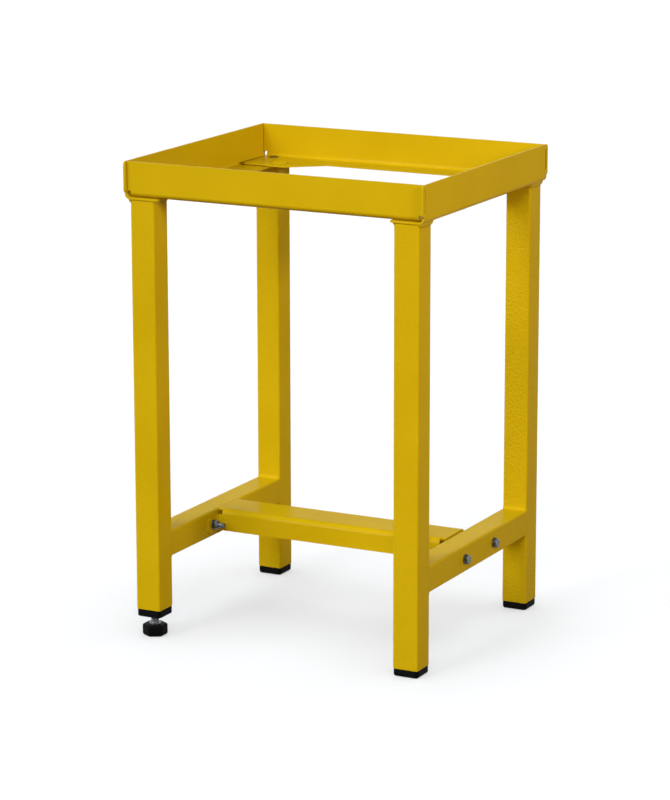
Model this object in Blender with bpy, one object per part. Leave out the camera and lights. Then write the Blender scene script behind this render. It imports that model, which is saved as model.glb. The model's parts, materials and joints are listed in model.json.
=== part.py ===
# Yellow welded stand for a tool chest. A tray of folded sheet sits on four square tube legs, a tube
# ties each pair of legs near the floor, and a folded channel is bolted between those two tubes.
# Three legs end in plastic caps and the front left leg ends in a screw foot.
# Units are metres. X runs along the front, Y to the back and Z up, with the floor at Z = 0.
import math

import bmesh
import bpy
from mathutils import Vector

# Gap between pieces that touch or are welded to each other
SEAT_GAP = 0.0003

# Folded sheet
SHEET = 0.003
BEND_INNER = 0.005

# Tray: outer size, and the side rails with the ears and relief cuts at their ends
TRAY_WIDTH = 0.486
TRAY_DEPTH = 0.4324
TRAY_WALL = 0.0562
SIDE_CORNER = 0.0055
EAR_REACH = 0.0037
FLANGE_LIP = 0.006
FLANGE_CORNER = 0.003
RELIEF_RISE = 0.0049
RELIEF_SLIT = 0.0005
RELIEF_SLOPE = 0.0032
RELIEF_DEPTH = 0.003

# Tray: front and rear rails, set back from the side rails' ends, with wide corners, tabs and notches
END_SETBACK = 0.0018
END_FLANGE = 0.0405
GUSSET_EXTRA = 0.044
GUSSET_LENGTH = 0.082
GUSSET_TAPER = 0.0524
GUSSET_CORNER = 0.006
CUTBACK_CLEARANCE = 0.001
NOTCH_RISE = 0.0017
TAB_TOP_MARGIN = 0.0083
TAB_LOW_MARGIN = 0.0064
FRONT_TAB_INSET = 0.0006
REAR_TAB_INSET = 0.0020
SLOT_CLEARANCE = 0.0003
SLOT_END_CLEARANCE = 0.0013

# Threaded inserts for the chest
INSERT_FLANGE = 0.0145
INSERT_FLANGE_HEIGHT = 0.0012
INSERT_BODY = 0.011
INSERT_LENGTH = 0.014
INSERT_BORE = 0.0068
INSERT_MARGIN = 0.0005
INSERT_CLEARANCE = 0.0003

# Square tube legs and lower side rails
TUBE = 0.040
TUBE_WALL = 0.0025
TUBE_CORNER = 0.003
LEG_LENGTH = 0.6548
LEG_INSET_X = 0.0082
LEG_INSET_Y = 0.0051
RAIL_BOTTOM = 0.120

# Cross rail
CHANNEL_WIDTH = 0.071
CHANNEL_TAB_HEIGHT = 0.0246
CHANNEL_TAB_REACH = 0.0307
CHANNEL_TAB_CORNER = 0.0055
CHANNEL_SHOULDER = 0.001
CHANNEL_END_GAP = 0.0018
CHANNEL_NOTCH_CLEAR = 0.0018
CHANNEL_NOTCH_SHARE = 0.3

# Bolts, nuts and washers
BOLT = 0.008
BOLT_OFFSET = 0.0151
BOLT_HOLE_CLEARANCE = 0.0005
BOLT_TAIL = 0.011
BOLT_TIP = 0.001
HEX_FLATS = 0.013
HEX_CHAMFER = 0.0006
HEAD_HEIGHT = 0.0053
NUT_HEIGHT = 0.0065
WASHER_OUTER = 0.016
WASHER_HEIGHT = 0.0016
THREAD_CLEARANCE = 0.0003

# End caps
CAP_HEAD = 0.0111
CAP_EDGE = 0.003
CAP_CORNER = 0.0055
PLUG_DEPTH = 0.018
PLUG_CLEARANCE = 0.0004

# Screw foot
FOOT_INSERT_HEAD = 0.011
FOOT_INSERT_EDGE = 0.001
FOOT_EXPOSED_STUD = 0.0126
FOOT_STUD = 0.012
FOOT_STUD_LENGTH = 0.062
FOOT_STUD_TIP = 0.001
FOOT_BUSH_WALL = 0.003
FOOT_WASHER_OUTER = 0.019
FOOT_WASHER_HEIGHT = 0.0015
FOOT_BASE_HEIGHT = 0.017
FOOT_BASE_FLATS = 0.034
FOOT_BASE_CORNER = 0.005
FOOT_BASE_CHAMFER = 0.0015
FOOT_BASE_EDGE = 0.003
FOOT_SOCKET_FLOOR = 0.005
FOOT_CLEARANCE = 0.0003

# Fineness of arcs and rings
ARC_STEPS = 6
RING_POINTS = 24
HEX_CORNER_STEPS = 3
EDGE_STEPS = 3
SQUARE_CORNERS = 4
HEX_CORNERS = 6
MERGE_DISTANCE = 0.000001
SMOOTH_ANGLE = math.radians(35)

# Finishes: linear colour, roughness, metallic
YELLOW_PAINT = ((0.60, 0.40, 0.006), 0.35, 0.0)
BLACK_PLASTIC = ((0.010, 0.010, 0.011), 0.45, 0.0)
ZINC_PLATE = ((0.42, 0.44, 0.46), 0.35, 1.0)
INSERT_PLATE = ((0.34, 0.27, 0.08), 0.40, 1.0)

# Levels and places that follow from the dimensions above
BEND_OUTER = BEND_INNER + SHEET
LEG_BOTTOM = CAP_HEAD + SEAT_GAP
LEG_TOP = LEG_BOTTOM + LEG_LENGTH
TRAY_BOTTOM = LEG_TOP + SEAT_GAP
TRAY_TOP = TRAY_BOTTOM + TRAY_WALL
LEG_X = TRAY_WIDTH / 2 - LEG_INSET_X - TUBE / 2
LEG_Y = TRAY_DEPTH / 2 - LEG_INSET_Y - TUBE / 2
SIDE_FLANGE = LEG_INSET_X + TUBE + FLANGE_LIP
LOW_END = TRAY_DEPTH / 2 - EAR_REACH
END_FACE = LOW_END - END_SETBACK
END_UNDERSIDE = TRAY_BOTTOM + SHEET + SEAT_GAP
END_TOPSIDE = END_UNDERSIDE + SHEET
NOTCH_TOP = END_UNDERSIDE + BEND_OUTER + NOTCH_RISE
TAB_LOW = NOTCH_TOP + TAB_LOW_MARGIN
TAB_HIGH = TRAY_TOP - TAB_TOP_MARGIN
INSERT_Y = END_FACE - SHEET - BEND_INNER - INSERT_FLANGE / 2 - INSERT_MARGIN
RAIL_INNER = LEG_X - TUBE / 2
RAIL_OUTER = LEG_X + TUBE / 2
BOLT_Y = CHANNEL_WIDTH / 2 + BOLT_OFFSET
BOLT_Z = RAIL_BOTTOM + TUBE / 2
CHANNEL_BOTTOM = BOLT_Z - CHANNEL_TAB_HEIGHT / 2
CHANNEL_TAB_TOP = CHANNEL_BOTTOM + CHANNEL_TAB_HEIGHT
CHANNEL_TOP = CHANNEL_TAB_TOP + CHANNEL_SHOULDER + BEND_OUTER
HOLE_RADIUS = BOLT / 2 + BOLT_HOLE_CLEARANCE
TUBE_INNER = TUBE - 2 * TUBE_WALL
TUBE_INNER_CORNER = max(TUBE_CORNER - TUBE_WALL, TUBE_WALL / 4)
PLUG_SIDE = TUBE_INNER - 2 * PLUG_CLEARANCE
FOOT_WASHER_BOTTOM = FOOT_BASE_HEIGHT + SEAT_GAP
FOOT_INSERT_BOTTOM = FOOT_WASHER_BOTTOM + FOOT_WASHER_HEIGHT + FOOT_EXPOSED_STUD
FOOT_LEG_BOTTOM = FOOT_INSERT_BOTTOM + FOOT_INSERT_HEAD + SEAT_GAP
FOOT_BUSH_OUTER = FOOT_STUD + 2 * FOOT_CLEARANCE + 2 * FOOT_BUSH_WALL

SIDES = {"left": -1, "right": 1}
ENDS = {"front": -1, "rear": 1}


def clear_scene():
    for thing in list(bpy.data.objects):
        bpy.data.objects.remove(thing, do_unlink=True)


def arc_angles(start, end, steps):
    return [start + (end - start) * step / steps for step in range(steps + 1)]


def rounded_outline(corners, steps=ARC_STEPS):
    """Closed outline through corners (u, v, radius), with an arc wherever the radius isn't zero."""
    points = []
    for index, (u, v, radius) in enumerate(corners):
        corner = Vector((u, v))
        if radius == 0:
            points.append(corner)
            continue
        back = (Vector(corners[index - 1][:2]) - corner).normalized()
        ahead = (Vector(corners[(index + 1) % len(corners)][:2]) - corner).normalized()
        half_angle = back.angle(ahead) / 2
        centre = corner + (back + ahead).normalized() * (radius / math.sin(half_angle))
        reach = radius / math.tan(half_angle)
        first = corner + back * reach - centre
        last = corner + ahead * reach - centre
        start = math.atan2(first.y, first.x)
        sweep = math.atan2(last.y, last.x) - start
        sweep = (sweep + math.pi) % (2 * math.pi) - math.pi
        for angle in arc_angles(start, start + sweep, steps):
            points.append(centre + Vector((math.cos(angle), math.sin(angle))) * radius)
    return [(point.x, point.y) for point in points]


def mirrored(half):
    """Closed outline from its right half, given from bottom to top."""
    return half + [(-u, v, radius) for u, v, radius in reversed(half)]


def bend_profile():
    """Outer skin of a fold, as (distance in from the wall's face, height above the flange's face)."""
    angles = arc_angles(0, math.pi / 2, ARC_STEPS)
    return [(BEND_OUTER * (1 - math.cos(a)), BEND_OUTER * (1 - math.sin(a))) for a in angles]


def strips(profile):
    return list(zip(profile, profile[1:]))


def add_finish(part, finish):
    colour, roughness, metallic = finish
    material = bpy.data.materials.new(part.name + "_finish")
    material.use_nodes = True
    shader = material.node_tree.nodes["Principled BSDF"]
    shader.inputs["Base Color"].default_value = (*colour, 1.0)
    shader.inputs["Roughness"].default_value = roughness
    shader.inputs["Metallic"].default_value = metallic
    part.data.materials.append(material)


def add_object(name, shape):
    """Put a bmesh into the scene as a named object."""
    mesh = bpy.data.meshes.new(name)
    shape.to_mesh(mesh)
    shape.free()
    part = bpy.data.objects.new(name, mesh)
    bpy.context.scene.collection.objects.link(part)
    return part


def make_sheet(name, panels, outward):
    """Folded sheet: panels are faces of its outer skin, and the first one looks along outward."""
    shape = bmesh.new()
    for panel in panels:
        shape.faces.new([shape.verts.new(point) for point in panel])
    bmesh.ops.remove_doubles(shape, verts=shape.verts, dist=MERGE_DISTANCE)
    bmesh.ops.recalc_face_normals(shape, faces=shape.faces)
    shape.faces.ensure_lookup_table()
    if shape.faces[0].normal.dot(Vector(outward)) < 0:
        bmesh.ops.reverse_faces(shape, faces=shape.faces)
    part = add_object(name, shape)
    thickness = part.modifiers.new("sheet", "SOLIDIFY")
    thickness.thickness = SHEET
    thickness.offset = -1
    thickness.use_even_offset = True
    add_finish(part, YELLOW_PAINT)
    return part


def make_loft(name, rings, finish, bored=False):
    """Closed body through rings of equal count. A bored body's last ring joins its first one."""
    shape = bmesh.new()
    loops = [[shape.verts.new(point) for point in ring] for ring in rings]
    pairs = list(zip(loops, loops[1:]))
    if bored:
        pairs.append((loops[-1], loops[0]))
    else:
        shape.faces.new(loops[0])
        shape.faces.new(loops[-1])
    for low, high in pairs:
        for index in range(len(low)):
            shape.faces.new((low[index - 1], low[index], high[index], high[index - 1]))
    bmesh.ops.recalc_face_normals(shape, faces=shape.faces)
    part = add_object(name, shape)
    part.data.shade_smooth()
    part.data.set_sharp_from_angle(angle=SMOOTH_ANGLE)
    add_finish(part, finish)
    return part


def round_ring(radius, height, count=RING_POINTS, start=0):
    angles = [start + 2 * math.pi * index / count for index in range(count)]
    return [(radius * math.cos(a), radius * math.sin(a), height) for a in angles]


def bore_ring(radius, height, corner_count, first_corner, points_each):
    """Round ring that lies point for point inside an outline of rounded corners."""
    count = corner_count * points_each
    start = first_corner - math.pi * (points_each - 1) / count
    return round_ring(radius, height, count, start)


def hex_ring(flats, height, limit=None):
    """Hexagon ring whose corners are turned down to the limit radius, where one is given."""
    ring = []
    for index in range(RING_POINTS):
        angle = 2 * math.pi * index / RING_POINTS
        radius = flats / 2 / math.cos(angle % (math.pi / 3) - math.pi / 6)
        if limit is not None:
            radius = min(radius, limit)
        ring.append((radius * math.cos(angle), radius * math.sin(angle), height))
    return ring


def soft_hex_ring(flats, corner, height):
    """Hexagon ring with rounded corners, two of them on the Y axis."""
    reach = flats / math.sqrt(3)
    angles = [math.pi / 6 + math.pi / 3 * index for index in range(HEX_CORNERS)]
    corners = [(reach * math.cos(a), reach * math.sin(a), corner) for a in angles]
    return [(u, v, height) for u, v in rounded_outline(corners, HEX_CORNER_STEPS)]


def square_ring(side, corner, height):
    half = side / 2
    corners = [(half, -half, corner), (half, half, corner), (-half, half, corner), (-half, -half, corner)]
    return [(u, v, height) for u, v in rounded_outline(corners)]


def along_x(rings):
    """The same rings with their height laid along X."""
    return [[(height, u, v) for u, v, height in ring] for ring in rings]


def along_y(rings):
    """The same rings with their height laid along Y."""
    return [[(v, height, u) for u, v, height in ring] for ring in rings]


def make_cutter(name, rings):
    cutter = make_loft(name, rings, ZINC_PLATE)
    cutter.hide_render = True
    cutter.display_type = "WIRE"
    return cutter


def cut(part, cutter):
    hole = part.modifiers.new(cutter.name, "BOOLEAN")
    hole.operation = "DIFFERENCE"
    hole.solver = "EXACT"
    hole.object = cutter


def make_bolt_cutter(name, y):
    """Long round cutter along X through both lower rails and the cross rail's tabs."""
    reach = TRAY_WIDTH / 2
    rings = along_x([round_ring(HOLE_RADIUS, -reach), round_ring(HOLE_RADIUS, reach)])
    cutter = make_cutter(name, rings)
    cutter.location = (0, y, BOLT_Z)
    return cutter


def make_insert_cutter(name, x, y):
    """Round cutter through both layers of sheet at a tray corner."""
    radius = INSERT_BODY / 2 + INSERT_CLEARANCE
    cutter = make_cutter(name, [round_ring(radius, -SHEET), round_ring(radius, 3 * SHEET)])
    cutter.location = (x, y, TRAY_BOTTOM)
    return cutter


def make_slot_cutter(name, side, end):
    """Box cutter for the slot in a side wall that takes a tab of the front or rear rail."""
    low_y = END_FACE - SHEET - SLOT_CLEARANCE
    high_y = END_FACE + SLOT_CLEARANCE
    corners = [(-SHEET, low_y), (2 * SHEET, low_y), (2 * SHEET, high_y), (-SHEET, high_y)]
    wall_face = TRAY_WIDTH / 2 - SHEET
    rings = []
    for height in (TAB_LOW - SLOT_END_CLEARANCE, TAB_HIGH + SLOT_END_CLEARANCE):
        rings.append([(side * (wall_face + u), end * v, height) for u, v in corners])
    return make_cutter(name, rings)


def make_side_rail(name, side):
    """Folded L along one side of the tray, with its wall outside and its flange under the tray."""
    face = side * TRAY_WIDTH / 2
    half_depth = TRAY_DEPTH / 2
    relief = TRAY_BOTTOM + BEND_OUTER + RELIEF_RISE
    step = relief - RELIEF_SLOPE
    front_end = [
        (-LOW_END, TRAY_BOTTOM + BEND_OUTER, 0),
        (-LOW_END, step - RELIEF_SLIT, 0),
        (RELIEF_DEPTH - LOW_END, step - RELIEF_SLIT, 0),
        (RELIEF_DEPTH - LOW_END, step, 0),
        (-LOW_END, step, 0),
        (-half_depth, relief, 0),
        (-half_depth, TRAY_TOP, SIDE_CORNER),
    ]
    rear_end = [
        (half_depth, TRAY_TOP, SIDE_CORNER),
        (half_depth, relief, 0),
        (LOW_END, step, 0),
        (LOW_END, TRAY_BOTTOM + BEND_OUTER, 0),
    ]
    panels = [[(face, y, z) for y, z in rounded_outline(front_end + rear_end)]]
    for (in_a, up_a), (in_b, up_b) in strips(bend_profile()):
        edge_a = [(face - side * in_a, end * LOW_END, TRAY_BOTTOM + up_a) for end in (-1, 1)]
        edge_b = [(face - side * in_b, end * LOW_END, TRAY_BOTTOM + up_b) for end in (1, -1)]
        panels.append(edge_a + edge_b)
    half_flange = [(LOW_END, BEND_OUTER, 0), (LOW_END, SIDE_FLANGE, FLANGE_CORNER)]
    flange = rounded_outline(mirrored(half_flange))
    panels.append([(face - side * inward, y, TRAY_BOTTOM) for y, inward in flange])
    return make_sheet(name, panels, (side, 0, 0))


def make_end_rail(name, end):
    """Folded L at the front or rear, lying on the side rails' flanges, with widened corners."""
    face = end * END_FACE
    wall_end = TRAY_WIDTH / 2 - SHEET - SEAT_GAP
    cut_end = TRAY_WIDTH / 2 - SHEET - BEND_INNER - CUTBACK_CLEARANCE
    tab_end = TRAY_WIDTH / 2 - (FRONT_TAB_INSET if end < 0 else REAR_TAB_INSET)
    gusset_x = TRAY_WIDTH / 2 - GUSSET_LENGTH
    seat_end = gusset_x - GUSSET_TAPER - 2 * GUSSET_CORNER
    half_wall = [
        (seat_end, END_UNDERSIDE + BEND_OUTER, 0),
        (cut_end, END_UNDERSIDE + BEND_OUTER, 0),
        (cut_end, NOTCH_TOP, 0),
        (wall_end, NOTCH_TOP, 0),
        (wall_end, TAB_LOW, 0),
        (tab_end, TAB_LOW, 0),
        (tab_end, TAB_HIGH, 0),
        (wall_end, TAB_HIGH, 0),
        (wall_end, TRAY_TOP, 0),
    ]
    panels = [[(x, face, z) for x, z in rounded_outline(mirrored(half_wall))]]
    for (in_a, up_a), (in_b, up_b) in strips(bend_profile()):
        for x_a, x_b in strips([-cut_end, -seat_end, seat_end, cut_end]):
            edge_a = [(x, face - end * in_a, END_UNDERSIDE + up_a) for x in (x_a, x_b)]
            edge_b = [(x, face - end * in_b, END_UNDERSIDE + up_b) for x in (x_b, x_a)]
            panels.append(edge_a + edge_b)
    seat = mirrored([(seat_end, BEND_OUTER, 0), (seat_end, END_FLANGE, 0)])
    corner = [
        (seat_end, BEND_OUTER, 0),
        (cut_end, BEND_OUTER, 0),
        (cut_end, END_FLANGE + GUSSET_EXTRA, 0),
        (gusset_x, END_FLANGE + GUSSET_EXTRA, GUSSET_CORNER),
        (gusset_x - GUSSET_TAPER, END_FLANGE, GUSSET_CORNER),
        (seat_end, END_FLANGE, 0),
    ]
    other_corner = [(-x, inward, radius) for x, inward, radius in corner]
    for outline in (seat, corner, other_corner):
        panels.append([(x, face - end * inward, END_UNDERSIDE) for x, inward in rounded_outline(outline)])
    return make_sheet(name, panels, (0, end, 0))


def make_tray():
    slots = {}
    inserts = {}
    for side_name, side in SIDES.items():
        for end_name, end in ENDS.items():
            corner = end_name + "_" + side_name
            slots[side, end] = make_slot_cutter("slot_cutter_" + corner, side, end)
            inserts[side, end] = make_insert_cutter("insert_cutter_" + corner, side * LEG_X, end * INSERT_Y)
            make_chest_insert("chest_insert_" + corner, side * LEG_X, end * INSERT_Y)
    for side_name, side in SIDES.items():
        rail = make_side_rail("tray_side_rail_" + side_name, side)
        for end in ENDS.values():
            cut(rail, slots[side, end])
            cut(rail, inserts[side, end])
    for end_name, end in ENDS.items():
        rail = make_end_rail("tray_" + end_name + "_rail", end)
        for side in SIDES.values():
            cut(rail, inserts[side, end])


def make_chest_insert(name, x, y):
    """Blind threaded insert: a flange on the tray floor and a bored body through both sheets."""
    underside = SEAT_GAP
    top = underside + INSERT_FLANGE_HEIGHT
    bottom = top - INSERT_LENGTH
    rings = [
        round_ring(INSERT_BODY / 2, bottom),
        round_ring(INSERT_BODY / 2, underside),
        round_ring(INSERT_FLANGE / 2, underside),
        round_ring(INSERT_FLANGE / 2, top),
        round_ring(INSERT_BORE / 2, top),
        round_ring(INSERT_BORE / 2, bottom),
    ]
    part = make_loft(name, rings, INSERT_PLATE, bored=True)
    part.location = (x, y, END_TOPSIDE)


def tube_rings(length):
    """Square tube with rounded corners, open at both ends, along its own Z axis."""
    return [
        square_ring(TUBE, TUBE_CORNER, 0),
        square_ring(TUBE, TUBE_CORNER, length),
        square_ring(TUBE_INNER, TUBE_INNER_CORNER, length),
        square_ring(TUBE_INNER, TUBE_INNER_CORNER, 0),
    ]


def make_legs():
    for side_name, side in SIDES.items():
        for end_name, end in ENDS.items():
            corner = end_name + "_" + side_name
            bottom = FOOT_LEG_BOTTOM if corner == "front_left" else LEG_BOTTOM
            leg = make_loft("leg_" + corner, tube_rings(LEG_TOP - bottom), YELLOW_PAINT, bored=True)
            leg.location = (side * LEG_X, end * LEG_Y, bottom)
            if corner != "front_left":
                make_end_cap("end_cap_" + corner, side * LEG_X, end * LEG_Y)


def make_lower_rails(bolt_cutters):
    half_length = LEG_Y - TUBE / 2 - SEAT_GAP
    for side_name, side in SIDES.items():
        rings = along_y(tube_rings(2 * half_length))
        rail = make_loft("lower_rail_" + side_name, rings, YELLOW_PAINT, bored=True)
        rail.location = (side * LEG_X, -half_length, BOLT_Z)
        for cutter in bolt_cutters:
            cut(rail, cutter)


def make_end_cap(name, x, y):
    """Plastic cap with a rounded lower edge, and a plug that fits inside the tube."""
    rings = []
    for angle in arc_angles(0, math.pi / 2, EDGE_STEPS):
        inset = CAP_EDGE * (1 - math.sin(angle))
        rings.append(square_ring(TUBE - 2 * inset, CAP_CORNER - inset, CAP_EDGE * (1 - math.cos(angle))))
    rings.append(square_ring(TUBE, CAP_CORNER, CAP_HEAD))
    rings.append(square_ring(PLUG_SIDE, TUBE_INNER_CORNER, CAP_HEAD))
    rings.append(square_ring(PLUG_SIDE, TUBE_INNER_CORNER, CAP_HEAD + PLUG_DEPTH))
    part = make_loft(name, rings, BLACK_PLASTIC)
    part.location = (x, y, 0)


def channel_half_profile():
    """Outer skin of half the cross rail, from the web's lower edge to the flat top, as (y, z)."""
    web = CHANNEL_WIDTH / 2
    profile = [(web, CHANNEL_BOTTOM), (web, CHANNEL_TAB_TOP)]
    for inward, up in bend_profile():
        profile.append((web - inward, CHANNEL_TOP - up))
    return profile


def channel_tab(side, end):
    """Panels of one bolted tab: the web's end, a fold turned outwards, and the rounded tab."""
    tab_face = RAIL_INNER - SEAT_GAP - SHEET
    web = CHANNEL_WIDTH / 2
    notch = tab_face - BEND_INNER - CHANNEL_NOTCH_CLEAR
    path = [(notch, web)]
    for angle in arc_angles(0, math.pi / 2, ARC_STEPS):
        path.append((tab_face - BEND_INNER * (1 - math.sin(angle)), web + BEND_INNER * (1 - math.cos(angle))))
    panels = []
    for (x_a, y_a), (x_b, y_b) in strips(path):
        edge_a = [(side * x_a, end * y_a, z) for z in (CHANNEL_BOTTOM, CHANNEL_TAB_TOP)]
        edge_b = [(side * x_b, end * y_b, z) for z in (CHANNEL_TAB_TOP, CHANNEL_BOTTOM)]
        panels.append(edge_a + edge_b)
    tab = rounded_outline([
        (web + BEND_INNER, CHANNEL_BOTTOM, 0),
        (web + CHANNEL_TAB_REACH, CHANNEL_BOTTOM, CHANNEL_TAB_CORNER),
        (web + CHANNEL_TAB_REACH, CHANNEL_TAB_TOP, CHANNEL_TAB_CORNER),
        (web + BEND_INNER, CHANNEL_TAB_TOP, 0),
    ])
    panels.append([(side * tab_face, end * y, z) for y, z in tab])
    return panels


def make_cross_rail(bolt_cutters):
    """Folded channel, open below, with four tabs bolted to the lower rails."""
    tab_face = RAIL_INNER - SEAT_GAP - SHEET
    notch = tab_face - BEND_INNER - CHANNEL_NOTCH_CLEAR
    top_end = RAIL_INNER - CHANNEL_END_GAP
    half = channel_half_profile()
    full = half + [(-y, z) for y, z in reversed(half)]
    front_kept = CHANNEL_WIDTH / 2 - BEND_OUTER * CHANNEL_NOTCH_SHARE
    panels = []
    for (y_a, z_a), (y_b, z_b) in strips(full):
        panels.append([(-notch, y_a, z_a), (notch, y_a, z_a), (notch, y_b, z_b), (-notch, y_b, z_b)])
        is_web = abs(y_a - y_b) < MERGE_DISTANCE
        if min(y_a, y_b) > -front_kept and not is_web:
            for side in SIDES.values():
                a, b = side * notch, side * top_end
                panels.append([(a, y_a, z_a), (b, y_a, z_a), (b, y_b, z_b), (a, y_b, z_b)])
    for side in SIDES.values():
        for end in ENDS.values():
            panels += channel_tab(side, end)
    rail = make_sheet("cross_rail", panels, (0, 1, 0))
    for cutter in bolt_cutters:
        cut(rail, cutter)


def make_bolts():
    """Each bolt runs along X from a washer outside the lower rail to a nut inside the cross rail's tab."""
    head_seat = RAIL_OUTER + SEAT_GAP + WASHER_HEIGHT + SEAT_GAP
    washer_seat = RAIL_INNER - SEAT_GAP - SHEET - SEAT_GAP
    nut_seat = washer_seat - WASHER_HEIGHT - SEAT_GAP
    length = head_seat - (nut_seat - NUT_HEIGHT - BOLT_TAIL)
    for side_name, side in SIDES.items():
        for end_name, end in ENDS.items():
            corner = end_name + "_" + side_name
            stack = [
                (make_bolt("bolt_" + corner, length), head_seat),
                (make_washer("head_washer_" + corner), head_seat - SEAT_GAP),
                (make_washer("nut_washer_" + corner), washer_seat),
                (make_nut("nut_" + corner), nut_seat),
            ]
            for part, x in stack:
                part.rotation_euler.y = -side * math.pi / 2
                part.location = (side * x, end * BOLT_Y, BOLT_Z)


def make_bolt(name, length):
    """Hexagon bolt along its own Z axis: head below zero, shank above."""
    rings = [
        hex_ring(HEX_FLATS, -HEAD_HEIGHT, HEX_FLATS / 2),
        hex_ring(HEX_FLATS, HEX_CHAMFER - HEAD_HEIGHT),
        hex_ring(HEX_FLATS, 0),
        round_ring(BOLT / 2, 0),
        round_ring(BOLT / 2, length - BOLT_TIP),
        round_ring(BOLT / 2 - BOLT_TIP, length),
    ]
    return make_loft(name, rings, ZINC_PLATE)


def make_washer(name):
    bore = BOLT / 2 + THREAD_CLEARANCE
    rings = [
        round_ring(WASHER_OUTER / 2, 0),
        round_ring(WASHER_OUTER / 2, WASHER_HEIGHT),
        round_ring(bore, WASHER_HEIGHT),
        round_ring(bore, 0),
    ]
    return make_loft(name, rings, ZINC_PLATE, bored=True)


def make_nut(name):
    bore = BOLT / 2 + THREAD_CLEARANCE
    rings = [
        hex_ring(HEX_FLATS, 0, HEX_FLATS / 2),
        hex_ring(HEX_FLATS, HEX_CHAMFER),
        hex_ring(HEX_FLATS, NUT_HEIGHT - HEX_CHAMFER),
        hex_ring(HEX_FLATS, NUT_HEIGHT, HEX_FLATS / 2),
        round_ring(bore, NUT_HEIGHT),
        round_ring(bore, 0),
    ]
    return make_loft(name, rings, ZINC_PLATE, bored=True)


def make_foot():
    """Screw foot under the front left leg. Its moving pieces hang on an empty on the screw's axis."""
    x, y = -LEG_X, -LEG_Y
    make_foot_insert(x, y)
    make_foot_bush(x, y)
    axis = bpy.data.objects.new("screw_foot_axis", None)
    bpy.context.scene.collection.objects.link(axis)
    axis.location = (x, y, 0)
    for part in (make_foot_base(), make_foot_washer(), make_foot_stud()):
        part.parent = axis


def make_foot_insert(x, y):
    """Black plug in the short leg, bored for the threaded bush."""
    bore = FOOT_BUSH_OUTER / 2 + FOOT_CLEARANCE
    top = FOOT_INSERT_HEAD + PLUG_DEPTH
    rings = [
        square_ring(TUBE - 2 * FOOT_INSERT_EDGE, CAP_CORNER - FOOT_INSERT_EDGE, 0),
        square_ring(TUBE, CAP_CORNER, FOOT_INSERT_EDGE),
        square_ring(TUBE, CAP_CORNER, FOOT_INSERT_HEAD),
        square_ring(PLUG_SIDE, TUBE_INNER_CORNER, FOOT_INSERT_HEAD),
        square_ring(PLUG_SIDE, TUBE_INNER_CORNER, top),
        bore_ring(bore, top, SQUARE_CORNERS, -math.pi / 4, ARC_STEPS + 1),
        bore_ring(bore, 0, SQUARE_CORNERS, -math.pi / 4, ARC_STEPS + 1),
    ]
    part = make_loft("foot_insert", rings, BLACK_PLASTIC, bored=True)
    part.location = (x, y, FOOT_INSERT_BOTTOM)


def make_foot_bush(x, y):
    """Threaded bush inside the insert, as long as the insert is deep."""
    bore = FOOT_STUD / 2 + FOOT_CLEARANCE
    length = FOOT_INSERT_HEAD + PLUG_DEPTH
    rings = [
        round_ring(FOOT_BUSH_OUTER / 2, 0),
        round_ring(FOOT_BUSH_OUTER / 2, length),
        round_ring(bore, length),
        round_ring(bore, 0),
    ]
    part = make_loft("foot_bush", rings, ZINC_PLATE, bored=True)
    part.location = (x, y, FOOT_INSERT_BOTTOM)


def make_foot_base():
    """Hexagon base with a rounded lower edge, a chamfered top and a socket for the stud."""
    rings = []
    for angle in arc_angles(0, math.pi / 2, EDGE_STEPS):
        inset = FOOT_BASE_EDGE * (1 - math.sin(angle))
        height = FOOT_BASE_EDGE * (1 - math.cos(angle))
        rings.append(soft_hex_ring(FOOT_BASE_FLATS - 2 * inset, FOOT_BASE_CORNER, height))
    chamfer_start = FOOT_BASE_HEIGHT - FOOT_BASE_CHAMFER
    top_flats = FOOT_BASE_FLATS - 2 * FOOT_BASE_CHAMFER
    rings.append(soft_hex_ring(FOOT_BASE_FLATS, FOOT_BASE_CORNER, chamfer_start))
    rings.append(soft_hex_ring(top_flats, FOOT_BASE_CORNER, FOOT_BASE_HEIGHT))
    socket = FOOT_STUD / 2 + FOOT_CLEARANCE
    for height in (FOOT_BASE_HEIGHT, FOOT_SOCKET_FLOOR):
        rings.append(bore_ring(socket, height, HEX_CORNERS, math.pi / 6, HEX_CORNER_STEPS + 1))
    return make_loft("foot_base", rings, BLACK_PLASTIC)


def make_foot_washer():
    bore = FOOT_STUD / 2 + FOOT_CLEARANCE
    top = FOOT_WASHER_BOTTOM + FOOT_WASHER_HEIGHT
    rings = [
        round_ring(FOOT_WASHER_OUTER / 2, FOOT_WASHER_BOTTOM),
        round_ring(FOOT_WASHER_OUTER / 2, top),
        round_ring(bore, top),
        round_ring(bore, FOOT_WASHER_BOTTOM),
    ]
    return make_loft("foot_washer", rings, ZINC_PLATE, bored=True)


def make_foot_stud():
    bottom = FOOT_SOCKET_FLOOR + SEAT_GAP
    top = bottom + FOOT_STUD_LENGTH
    rings = [
        round_ring(FOOT_STUD / 2 - FOOT_STUD_TIP, bottom),
        round_ring(FOOT_STUD / 2, bottom + FOOT_STUD_TIP),
        round_ring(FOOT_STUD / 2, top - FOOT_STUD_TIP),
        round_ring(FOOT_STUD / 2 - FOOT_STUD_TIP, top),
    ]
    return make_loft("foot_stud", rings, ZINC_PLATE)


def main():
    clear_scene()
    make_tray()
    make_legs()
    bolt_cutters = [make_bolt_cutter("bolt_cutter_" + name, end * BOLT_Y) for name, end in ENDS.items()]
    make_lower_rails(bolt_cutters)
    make_cross_rail(bolt_cutters)
    make_bolts()
    make_foot()


main()
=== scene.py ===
# %% [markdown]
# # A yellow stand for a tool chest
#
# The real stand is welded from folded sheet and square tube, dipped and powder coated in one piece,
# and then gets its bolts, plastic caps and screw foot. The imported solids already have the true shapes
# and places, so this lesson dresses them: soft painted edges, welds, threads, finishes and light.

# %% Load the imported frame
import json
import math

import bmesh
import bpy
from mathutils import Euler, Matrix, Vector, noise

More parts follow.
